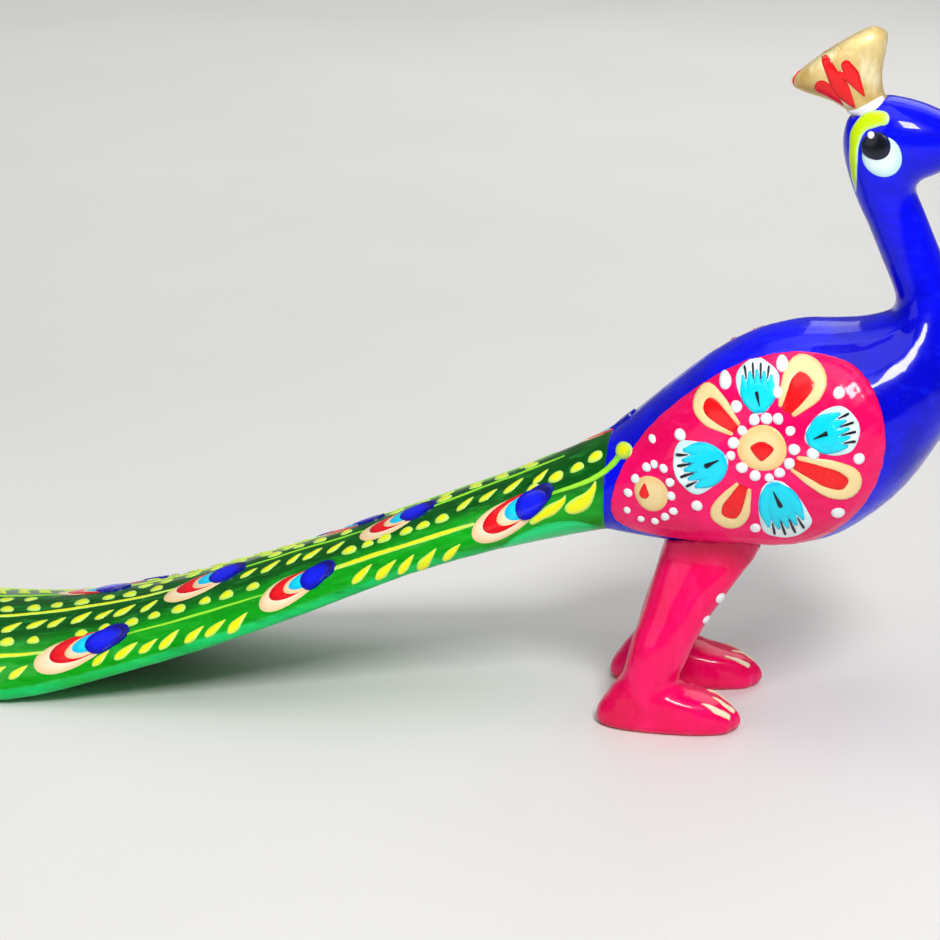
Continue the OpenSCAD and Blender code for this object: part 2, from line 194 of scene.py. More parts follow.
bodyLook = {"base": (0.0, 0.002, 0.86), "deep": (0.0, 0.0, 0.5), "light": (0.01, 0.03, 1.0), "rough": 0.2,
            "coat": 0.4, "coatRough": 0.03, "streak": 0.25, "gloss": 0.08}
wingLook = {"base": (1.0, 0.0, 0.15), "deep": (0.82, 0.0, 0.1), "light": (1.0, 0.04, 0.24), "rough": 0.26,
            "coat": 0.35, "coatRough": 0.05, "drag": (120, 600, 500), "gloss": 0.12}
legLook = {"base": (1.0, 0.0, 0.14), "deep": (0.78, 0.0, 0.07), "light": (1.0, 0.03, 0.2), "rough": 0.24,
           "coat": 0.4, "coatRough": 0.05, "drag": (500, 500, 120), "gloss": 0.12}
crestLook = {"base": (0.88, 0.68, 0.29), "deep": (0.6, 0.38, 0.1), "light": (1.0, 0.95, 0.62), "rough": 0.34,
             "coat": 0.35, "coatRough": 0.15, "streak": 0.8, "cover": 170, "bump": 0.5, "metal": 0.15,
             "drag": (260, 300, 160)}


# the neck's blue runs out in a hand-cut edge where the gold of the beak begins
def beakTint(pot):
    cover = pot.between(pot.clouds(90, 4), 0.32, 0.68)
    blue = pot.mix(cover, bodyLook["deep"], bodyLook["base"])
    gold = pot.mix(pot.clouds(260, 4), (0.5, 0.28, 0.05), (0.95, 0.7, 0.25))
    edge = pot.painted("beakward") + 0.5 * (pot.clouds(500, 2) - 0.5)
    return pot.mix(pot.between(edge, -0.06, 0.06), blue, gold)


# three greens from the crown of the tail out to its rim
def tailTint(pot):
    out = pot.painted("outward") + 0.12 * (pot.clouds(60, 3) - 0.5)
    brushed = pot.clouds(1, 4, 0.6, pot.stretched((70, 420, 420)))
    crown = pot.mix(brushed, (0.0, 0.045, 0.002), (0.0, 0.13, 0.006))
    slope = pot.mix(brushed, (0.0, 0.2, 0.0), (0.004, 0.46, 0.01))
    rim = pot.mix(brushed, (0.0, 0.38, 0.04), (0.01, 0.72, 0.2))
    body = pot.mix(pot.between(out, 0.38, 0.62), crown, slope)
    return pot.mix(pot.between(out, 0.86, 0.94), body, rim)


tailLook = {"deep": (0.0, 0.05, 0.005), "light": (0.04, 0.7, 0.08), "rough": 0.26, "coat": 0.3,
            "coatRough": 0.06, "streak": 0.22, "thin": 0.25, "drag": (90, 700, 700), "gloss": 0.1}

print("carving the figure")


# smooths without shrinking: every pass pulls the points in, then pushes them out again
def relax(points, edges, passes):
    a, b = edges[:, 0], edges[:, 1]
    count = np.bincount(np.concatenate((a, b)), minlength=len(points))
    for step in range(passes):
        for amount in (0.5, -0.53):
            pulled = np.empty_like(points)
            for axis in range(3):
                near = (np.bincount(a, points[b, axis], len(points))
                        + np.bincount(b, points[a, axis], len(points)))
                pulled[:, axis] = near / count - points[:, axis]
            points = points + amount * pulled
    return points


def cornersOf(mesh):
    points = np.empty(len(mesh.vertices) * 3)
    mesh.vertices.foreach_get("co", points)
    return points.reshape(-1, 3)


def edgesOf(mesh):
    edges = np.empty(len(mesh.edges) * 2, int)
    mesh.edges.foreach_get("vertices", edges)
    return edges.reshape(-1, 2)


# carved wood: CAD copies joined into one skin, facets planed off, faint knife marks left
def carve(name, nodes, look):
    bm = bmesh.new()
    for node in nodes:
        bm.from_mesh(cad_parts[node].data)
    bmesh.ops.remove_doubles(bm, verts=bm.verts, dist=0.002 * mm)
    bmesh.ops.scale(bm, vec=(1000, 1000, 1000), verts=bm.verts)
    rough = bpy.data.meshes.new(name + "_blank")
    bm.to_mesh(rough)
    bm.free()
    blank = bpy.data.objects.new(name + "_blank", rough)
    scene.collection.objects.link(blank)
    shell = blank.modifiers.new("skin", "REMESH")
    shell.mode, shell.voxel_size, shell.adaptivity = "VOXEL", look["voxel"], 0
    bpy.context.view_layer.update()
    skin = bpy.data.meshes.new_from_object(blank.evaluated_get(bpy.context.evaluated_depsgraph_get()))
    bpy.data.objects.remove(blank)
    points, edges = cornersOf(skin), edgesOf(skin)
    # only the outer skin stays: peg holes closed inside the wood are dropped
    group = np.arange(len(points))
    while True:
        low = np.minimum(group[edges[:, 0]], group[edges[:, 1]])
        before = group.copy()
        np.minimum.at(group, edges[:, 0], low)
        np.minimum.at(group, edges[:, 1], low)
        group = group[group]
        if (group == before).all():
            break
    kept = np.bincount(group).argmax()
    points = relax(points, edges, look["passes"])
    lowest = min(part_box(node)[0].z for node in nodes) * 1000
    points[:, 2] = np.maximum(points[:, 2], lowest)
    skin.vertices.foreach_set("co", points.ravel() * mm)
    bm = bmesh.new()
    bm.from_mesh(skin)
    bm.verts.ensure_lookup_table()
    bmesh.ops.delete(bm, geom=[bm.verts[i] for i in np.nonzero(group != kept)[0]], context="VERTS")
    bm.normal_update()
    for vert in bm.verts:
        if vert.co.z > (lowest + 0.3) * mm:         # whatever stands on the table stays flat
            knife = noise.noise(vert.co * 190) + 0.5 * noise.noise(vert.co * 420)
            vert.co += vert.normal * knife * look["knife"] * mm
    bm.to_mesh(skin)
    bm.free()
    return skin


# the plane where two glued CAD pieces meet
def glueLine(first, second):
    spots = [{tuple(np.round(vert.co, 6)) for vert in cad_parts[node].data.vertices}
             for node in (first, second)]
    shared = np.array(sorted(spots[0] & spots[1]))
    middle = shared.mean(0)
    normal = np.linalg.svd(shared - middle)[2][2]
    toward = np.array(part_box(second)[0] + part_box(second)[1]) / 2 - middle
    return Vector(middle), Vector(normal * np.sign(normal @ toward))


# the side of a cut that a piece keeps, with the sawn face closed
def sawn(skin, cuts):
    bm = bmesh.new()
    bm.from_mesh(skin)
    for spot, normal in cuts:
        everything = bm.verts[:] + bm.edges[:] + bm.faces[:]
        bmesh.ops.bisect_plane(bm, geom=everything, dist=1e-7, plane_co=spot, plane_no=normal,
                               clear_outer=True)
        rim = [edge for edge in bm.edges if edge.is_boundary]
        bmesh.ops.holes_fill(bm, edges=rim, sides=0)
    mesh = bpy.data.meshes.new("sawn")
    bm.to_mesh(mesh)
    bm.free()
    return mesh


def mark(mesh, name, values):
    field = mesh.attributes.new(name, "FLOAT", "POINT")
    field.data.foreach_set("value", np.asarray(values, np.float32))


def seat(name, mesh, material, nodes=()):
    mesh.materials.clear()
    mesh.materials.append(material)
    mesh.polygons.foreach_set("use_smooth", [True] * len(mesh.polygons))
    mesh.set_sharp_from_angle(angle=math.radians(62))
    mesh.name = name
    piece = bpy.data.objects.new(name, mesh)
    scene.collection.objects.link(piece)
    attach(piece, "root")
    if nodes:
        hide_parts(*nodes)
    return piece


birdCarving = {"voxel": 0.42, "passes": 60, "knife": 0.06}
bird = carve("bird", ["torso", "neck_and_head", "tail"], birdCarving)
neckSeam = glueLine("torso", "neck_and_head")
tailSeam = glueLine("torso", "tail")
torsoMesh = sawn(bird, [neckSeam, tailSeam])
headMesh = sawn(bird, [(neckSeam[0], -neckSeam[1])])
tailMesh = sawn(bird, [(tailSeam[0], -tailSeam[1])])
print("bird carved and sawn at its glue seams")

# how far each spot of the head lies in front of the beak's curved edge; far behind it on the neck
beakLook = {"long": 8.3, "bow": 0.12, "headTall": 16, "neck": -9.0}
headLow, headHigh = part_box("neck_and_head")
points = cornersOf(headMesh)
beakStart = headHigh.x - beakLook["long"] * mm
forward = (points[:, 0] - beakStart) / mm + beakLook["bow"] * (points[:, 1] / mm) ** 2
onHead = points[:, 2] > headHigh.z - beakLook["headTall"] * mm
mark(headMesh, "beakward", np.where(onHead, forward, beakLook["neck"]))

bodyPaint = enamel("body_blue", bodyLook)
torso = seat("torso_carved", torsoMesh, bodyPaint, ["torso"])
neckPaint = enamel("neck_blue", bodyLook, beakTint)
head = seat("neck_and_head_carved", headMesh, neckPaint, ["neck_and_head"])
tail = seat("tail_carved", tailMesh, enamel("tail_green", tailLook, tailTint), ["tail"])

legCarving = {"voxel": 0.32, "passes": 24, "knife": 0.06}
legPaint = enamel("leg_pink", legLook)
legs = {}
for side in ("right", "left"):
    skin = carve("leg_" + side, ["leg_" + side], legCarving)
    legs[side] = seat("leg_%s_carved" % side, skin, legPaint, ["leg_" + side])

# a wing has a little filler over the heads of its brads
wingCarving = {"voxel": 0.28, "passes": 22, "knife": 0.035, "fillerReach": 1.5, "filler": 0.34 * mm}
wingPaint = enamel("wing_pink", wingLook)
wings = {}
for side in ("right", "left"):
    skin = carve("wing_" + side, ["wing_" + side], wingCarving)
    heads = cornersOf(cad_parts["wing_brads_" + side].data)
    reach = wingCarving["fillerReach"]
    for vert in skin.vertices:
        gap = np.linalg.norm(heads - vert.co, axis=1).min() / mm
        if gap < reach and vert.normal.y * math.copysign(1, vert.co.y) > 0.3:      # the outer face only
            vert.co += vert.normal * wingCarving["filler"] * (1 - (gap / reach) ** 2)
    wings[side] = seat("wing_%s_carved" % side, skin, wingPaint, ["wing_" + side])

# the top of the crest swells a little between its two ends, and its front corner is rounded over
crestCarving = {"voxel": 0.24, "passes": 26, "knife": 0.05, "swell": 0.75 * mm, "upward": (-0.48, 0, 0.88),
                "cornerLong": 2.9 * mm, "cornerTall": 2.2 * mm}
crestMesh = carve("crest", ["crest"], crestCarving)
crestLow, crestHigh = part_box("crest")
upward = Vector(crestCarving["upward"])
for vert in crestMesh.vertices:
    along = (vert.co.x - crestLow.x) / (crestHigh.x - crestLow.x)
    lean = max(0, vert.normal.dot(upward))
    arch = math.sin(math.pi * min(1, max(0, along * 0.92 + 0.04)))
    vert.co += upward * lean * crestCarving["swell"] * arch
long, tall = crestCarving["cornerLong"], crestCarving["cornerTall"]
for vert in crestMesh.vertices:
    dx = (vert.co.x - crestHigh.x + long) / long
    dz = (vert.co.z - crestHigh.z + tall) / tall
    over = math.hypot(dx, dz)
    if dx > 0 and dz > 0 and over > 1:
        vert.co -= Vector((dx * long, 0, dz * tall)) * (1 - 1 / over)
crest = seat("crest_carved", crestMesh, enamel("crest_gold", crestLook), ["crest"])
print("wood carved and primed")


# raised paint: every stroke is a small closed skin laid on the wood
strokePaints = {
    "white": {"core": (0.93, 0.97, 0.98), "edge": (0.8, 0.82, 0.86), "slot": "white_enamel"},
    "fringe": {"core": (0.84, 0.98, 0.98), "edge": (0.62, 0.92, 0.96), "slot": "white_enamel"},
    "cream": {"core": (0.95, 0.85, 0.62), "edge": (0.9, 0.62, 0.32), "slot": "white_enamel"},
    "gold": {"core": (0.95, 0.74, 0.36), "edge": (0.93, 0.6, 0.24), "slot": "gold_enamel"},
    "cyan": {"core": (0.0, 0.74, 0.95), "edge": (0.0, 0.5, 0.85), "slot": "cyan_enamel"},
    "red": {"core": (0.93, 0.004, 0.008), "edge": (0.7, 0.0, 0.01), "slot": "red_enamel"},
    "blue": {"core": (0.0, 0.008, 0.85), "edge": (0.0, 0.0, 0.42), "slot": "blue_enamel"},
    "navy": {"core": (0.0, 0.0, 0.1), "edge": (0.0, 0.0, 0.3), "slot": "blue_enamel"},
    "black": {"core": (0.002, 0.003, 0.008), "edge": (0.006, 0.01, 0.05), "slot": "black_enamel"},
    "yellow": {"core": (0.86, 0.88, 0.0), "edge": (0.5, 0.84, 0.16), "slot": "yellow_enamel",
               "coreWidth": 0.3},
    "lime": {"core": (0.36, 0.85, 0.03), "edge": (0.16, 0.62, 0.02), "slot": "yellow_enamel"},
    "brow": {"core": (0.62, 0.9, 0.0), "edge": (0.6, 0.92, 0.45), "slot": "yellow_enamel"},
    "emerald": {"core": (0.0, 0.78, 0.22), "edge": (0.0, 0.5, 0.1), "slot": "green_enamel"},
}


def strokePaint(name, look):
    pot = PaintPot(name + "_stroke")
    rim = pot.painted("rim")
    tone = pot.painted("tone")
    drag = pot.clouds(1, 3, 0.6, pot.stretched((700, 900, 900)))
    grain = pot.clouds(1500, 2)
    patch = pot.clouds(240, 3)
    deep = [0.62 * part for part in look["core"]]
    thinning = pot.between(rim + 0.35 * (patch - 0.5), look.get("coreWidth", 0.5), 0.95)
    edged = pot.mix(thinning, look["core"], look["edge"])
    colour = pot.mix(0.3 * pot.between(drag, 0.52, 0.78), edged, deep)
    colour = pot.mix(0.16 * tone, colour, deep)
    roughness = 0.2 + 0.18 * patch + 0.12 * (drag - 0.5)
    return pot.coat(colour, roughness, drag * 0.5 + grain * 0.15 + patch * 0.4,
                    {"bump": 0.3, "depth": 0.14, "coat": 0.35, "coatRough": 0.06})


paints = {name: strokePaint(name, look) for name, look in strokePaints.items()}


# how thick one coat is, how deep a stroke's edge is sunk in the wood, and how unsteady the hand is
brush = {"coat": 0.06, "sunk": 0.08, "wobble": 0.05}
bothSides = (("right", 1), ("left", -1))        # the bird's sides, and which way along Y one looks at each


# a panel of wood seen along one direction; across and up are its flat drawing axes, in mm, and
# reach is how far in front of them one looks from
class Panel:
    def __init__(self, name, woods, zero, look, across, up, reach=60):
        corners, faces = [], []
        for wood in woods:
            start = len(corners)
            corners += [vert.co.copy() for vert in wood.data.vertices]
            faces += [[start + i for i in face.vertices] for face in wood.data.polygons]
        self.tree = BVHTree.FromPolygons(corners, faces)
        self.name, self.zero = name, Vector(zero)
        self.look, self.across, self.up = Vector(look).normalized(), Vector(across), Vector(up)
        self.reach, self.strokes, self.count = reach, {}, 0

    def land(self, x, y):
        spot = self.zero + self.across * x * mm + self.up * y * mm
        hit = self.tree.ray_cast(spot - self.look * self.reach * mm, self.look, 120 * mm)
        if hit[0] is None:
            hit = self.tree.find_nearest(spot)
        return hit[0], hit[1]

    # no two strokes in a row have the same tone
    def nextTone(self):
        self.count += 1
        return (self.count * 0.618) % 1

    # a stroke of the brush along a line, with its half widths, domed by lift, over earlier coats;
    # across and steps are its divisions, and a higher flat makes its dome squarer
    def stroke(self, colour, line, widths, lift, coat, across, steps, flat=2.0):
        line, widths = np.array(line, float), np.array(widths, float)
        at = np.linspace(0, 1, len(line))
        fine = np.linspace(0, 1, steps + 1)
        fine = 0.35 * fine + 0.65 * (0.5 - 0.5 * np.cos(math.pi * fine))        # closer steps at both ends
        path = np.stack([curved(at, line[:, k], fine) for k in (0, 1)], 1)
        half = curved(at, widths, fine).clip(0)
        course = np.gradient(path, axis=0)
        course /= np.linalg.norm(course, axis=1)[:, None] + 1e-9
        side = np.stack((-course[:, 1], course[:, 0]), 1)
        run = np.append(0, np.linalg.norm(np.diff(path, axis=0), axis=1).cumsum())
        for end, away in ((half[0], run), (half[-1], run[-1] - run)):           # round the ends off
            half = half * np.sqrt(1 - (1 - away / max(end, 1e-6)).clip(0, 1) ** 2)
        half = half * (1 + brush["wobble"] * np.sin(2.1 * run / half.max() + 3 * self.count))
        widest, tone = half.max(), self.nextTone()
        verts, faces, rims = [], [], []
        for i in range(steps + 1):
            body = min(1.0, half[i] / (0.45 * widest + 1e-9))
            endFade = min(1, 4 * min(fine[i], 1 - fine[i]))
            for j in range(across + 1):
                t = math.sin((2 * j / across - 1) * math.pi / 2)
                spot, normal = self.land(*(path[i] + side[i] * half[i] * t))
                if abs(t) < 0.999 and 0 < i < steps:
                    high = lift * (1 - abs(t) ** flat) ** 0.5 * body + coat * brush["coat"]
                else:
                    high = -brush["sunk"]
                verts.append(spot + normal * high * mm)
                rims.append(max(abs(t), 1 - endFade))
        for i in range(steps):
            a, b = i * (across + 1), (i + 1) * (across + 1)
            faces += [(a + j, b + j, b + j + 1, a + j + 1) for j in range(across)]
            faces.append((a, a + across, b + across, b))
        self.keep(colour, verts, faces, rims, tone)

    # a round or oval dab; squash makes one end blunter than the other
    def dab(self, colour, x, y, length, width=None, angle=0, lift=0.2, coat=0, around=20, rings=4,
            squash=0.0):
        width, tone = width or length, self.nextTone()
        ca, sa = math.cos(math.radians(angle)), math.sin(math.radians(angle))
        verts, faces, rims = [], [], []
        for r in range(rings + 1):
            f = math.sin(math.pi / 2 * r / rings)
            for k in range(around if r else 1):
                a = 2 * math.pi * k / around
                shake = f * (1 + 0.035 * math.sin(2 * a + 6 * tone) + 0.025 * math.sin(3 * a + 17 * tone))
                u = shake * length * math.cos(a)
                v = shake * width * math.sin(a) * (1 + squash * math.cos(a))
                spot, normal = self.land(x + u * ca - v * sa, y + u * sa + v * ca)
                if r < rings:
                    high = lift * (1 - f ** 2.4) ** 0.6 + coat * brush["coat"]
                else:
                    high = -brush["sunk"]
                verts.append(spot + normal * high * mm)
                rims.append(f)
        for k in range(around):
            n = (k + 1) % around
            faces.append((0, 1 + k, 1 + n))
            for r in range(1, rings):
                a, b = 1 + (r - 1) * around, 1 + r * around
                faces.append((a + k, b + k, b + n, a + n))
        faces.append([1 + (rings - 1) * around + k for k in reversed(range(around))])
        self.keep(colour, verts, faces, rims, tone)

    def keep(self, colour, verts, faces, rims, tone):
        store = self.strokes.setdefault(colour, ([], [], [], []))
        start = len(store[0])
        store[0].extend(verts)
        store[1].extend([start + i for i in face] for face in faces)
        store[2].extend(rims)
        store[3].extend([tone] * len(verts))

    def finish(self):
        for colour, (verts, faces, rims, tones) in self.strokes.items():
            mesh = bpy.data.meshes.new(self.name)
            mesh.from_pydata([tuple(v) for v in verts], [], faces)
            bm = bmesh.new()
            bm.from_mesh(mesh)
            bmesh.ops.recalc_face_normals(bm, faces=bm.faces)
            bm.to_mesh(mesh)
            bm.free()
            mark(mesh, "rim", rims)
            mark(mesh, "tone", tones)
            seat("%s_%s" % (self.name, colour), mesh, paints[colour])


# a smooth line through given points
def curved(at, values, fine):
    if len(values) < 3:
        return np.interp(fine, at, values)
    slope = np.gradient(values, at)
    i = np.clip(np.searchsorted(at, fine, "right") - 1, 0, len(at) - 2)
    span = at[i + 1] - at[i]
    t = (fine - at[i]) / span
    return ((2 * t**3 - 3 * t**2 + 1) * values[i] + (t**3 - 2 * t**2 + t) * span * slope[i]
            + (-2 * t**3 + 3 * t**2) * values[i + 1] + (t**3 - t**2) * span * slope[i + 1])


# wings: a flower of eight petals round a gold hub, a small flower behind, and dots
# places are (x, y) from the hub, petals are (angle, inner end, outer end, width)
wingFlower = {
    "hub": (2.57, 2.24), "hubRadius": 3.6,
    "hubFlame": ([(0, -1.9), (0, -0.9), (0, 0.2), (0, 1.15)], [0.1, 1.15, 1.95, 1.3]),
    "hubDots": {"radius": 0.8, "uneven": 0.1, "turn": (7, 1), "lift": 0.3,
                "spots": [(-3.1, 2.4), (-4.3, 0.5), (-4.6, -1.4), (-2.9, -3.1), (-0.9, -4.2), (1.2, -4.4),
                          (2.7, -3.5), (4.1, -2.0), (4.7, 0.2), (4.0, 2.9), (2.1, 4.5), (0.4, 4.4),
                          (-1.4, 4.1)]},
    "outerDots": {"radius": 0.95, "uneven": 0.1, "turn": (5, -2), "lift": 0.34,
                  "spots": [(2.2, 11.6), (10.8, 8.5), (14.2, -1.0), (11.5, -10.1), (-0.7, -13.3),
                            (-9.5, -9.9), (-12.5, 0.5), (-6.2, 8.5), (1.8, 8.1), (-4.2, 5.6), (7.5, -0.3)]},
    "loneDot": (-16.9, -1.1, 0.6),
    "cyanPetals": [(98, 4.9, 11.9, 5.8), (201, 5.4, 14.0, 7.6),
                   (-72, 5.0, 15.6, 7.2), (16, 6.4, 14.6, 6.6)],
    "goldPetals": [(148.5, 4.6, 12.0, 4.8), (247, 6.4, 14.2, 5.4),
                   (-22, 5.0, 15.6, 5.6), (60, 6.4, 13.8, 6.2)],
    "smallFlower": (-16.6, -9.0), "smallRadius": 2.9,
    "smallFlame": ([(-0.9, -0.9), (-1.0, 0), (-1.0, 1.6)], [0.55, 0.85, 0.1]),
    "smallDots": {"radius": 0.66, "uneven": 0.08, "turn": (9, 1), "lift": 0.26,
                  "spots": [(-17.5, -5.1), (-16.3, -4.4), (-14.8, -4.7), (-13.7, -6.6), (-13.5, -8.8),
                            (-13.1, -11.3), (-14.4, -12.5), (-16.0, -13.6), (-18.2, -13.6), (-20.4, -12.5),
                            (-20.3, -9.6), (-19.2, -7.2)]},
}


# places and widths on a petal: t runs out along it from 0 to 1, s across it from -1 to 1
def petalGrid(angle, inner, outer, width):
    ca, sa = math.cos(math.radians(angle)), math.sin(math.radians(angle))
    length, half = outer - inner, width / 2

    def out(t, s):
        return (inner + length * t) * ca - s * half * sa, (inner + length * t) * sa + s * half * ca

    def wide(*shares):
        return [share * half for share in shares]

    return out, wide


# a pale fan with five cyan fingers, black ticks between their tips, and a cyan heart with a black seed
def cyanPetal(panel, *petal):
    out, wide = petalGrid(*petal)
    panel.stroke("fringe", [out(t, 0) for t in (0, 0.14, 0.4, 0.66, 0.86, 1.0)],
                 wide(0.25, 0.58, 0.96, 1.1, 1.04, 0.78), 0.14, 0, 14, 30, 6)
    fingers = 5
    for k in range(fingers):
        s = (k - (fingers - 1) / 2) / (fingers - 1) * 2
        reach = 1.0 - 0.1 * s * s
        panel.stroke("cyan", [out(0.04, 0.1 * s), out(0.36, 0.56 * s), out(reach - 0.16, 0.76 * s)],
                     wide(0.14, 0.34, 0.05), 0.14, 2.2, 6, 16)
    for m in (-0.75, -0.25, 0.25, 0.75):
        tick = [out(0.64, 0.72 * m), out(0.8, 0.8 * m), out(0.93 - 0.1 * m * m, 0.86 * m)]
        panel.stroke("black", tick, wide(0.02, 0.07, 0.06), 0.06, 4.0, 4, 9)
    panel.stroke("cyan", [out(t, 0) for t in (0.02, 0.2, 0.45, 0.62)],
                 wide(0.14, 0.48, 0.78, 0.3), 0.12, 2.6, 8, 14, 4)
    panel.stroke("black", [out(0.14, -0.06), out(0.3, 0.0), out(0.44, 0.06)],
                 wide(0.02, 0.08, 0.14), 0.06, 5.2, 5, 10)


# a gold loop round a red flame
def goldPetal(panel, *petal):
    out, wide = petalGrid(*petal)
    loop = [(0.0, 0.34), (0.3, 0.6), (0.6, 0.78), (0.84, 0.6), (0.91, 0.0),
            (0.84, -0.6), (0.6, -0.78), (0.3, -0.6), (0.0, -0.34)]
    panel.stroke("gold", [out(t, s) for t, s in loop],
                 wide(0.1, 0.2, 0.28, 0.36, 0.42, 0.36, 0.28, 0.2, 0.1), 0.16, 0.4, 6, 34, 3)
    panel.stroke("red", [out(t, 0) for t in (-0.02, 0.3, 0.62, 0.83)],
                 wide(0.26, 0.5, 0.62, 0.3), 0.13, 0.2, 8, 18, 3)


def whiteDots(panel, dots):
    for x, y in dots["spots"]:
        uneven = dots["uneven"] * math.sin(dots["turn"][0] * x + dots["turn"][1] * y)
        panel.dab("white", x, y, dots["radius"] + uneven, lift=dots["lift"])


for side, handed in bothSides:
    low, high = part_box("wing_" + side)
    hub = (low + high) / 2 + Vector((wingFlower["hub"][0], 0, wingFlower["hub"][1])) * mm
    panel = Panel("wing_%s_paint" % side, [wings[side]], hub, (0, handed, 0), (1, 0, 0), (0, 0, 1))
    for petal in wingFlower["goldPetals"]:
        goldPetal(panel, *petal)
    for petal in wingFlower["cyanPetals"]:
        cyanPetal(panel, *petal)
    panel.dab("gold", 0, 0, wingFlower["hubRadius"], lift=0.22, around=36, rings=7)
    line, widths = wingFlower["hubFlame"]
    panel.stroke("red", line, widths, 0.14, 3.4, 8, 14, 3)
    whiteDots(panel, wingFlower["hubDots"])
    whiteDots(panel, wingFlower["outerDots"])
    x, y, radius = wingFlower["loneDot"]
    panel.dab("white", x, y, radius, lift=0.25)
    x, y = wingFlower["smallFlower"]
    radius = wingFlower["smallRadius"]
    panel.dab("gold", x, y, radius, radius * 0.94, 60, 0.22, rings=6, around=28)
    line, widths = wingFlower["smallFlame"]
    panel.stroke("red", [(x + dx, y + dy) for dx, dy in line], widths, 0.14, 3.2, 6, 12)
    whiteDots(panel, wingFlower["smallDots"])
    panel.finish()
print("wings painted")

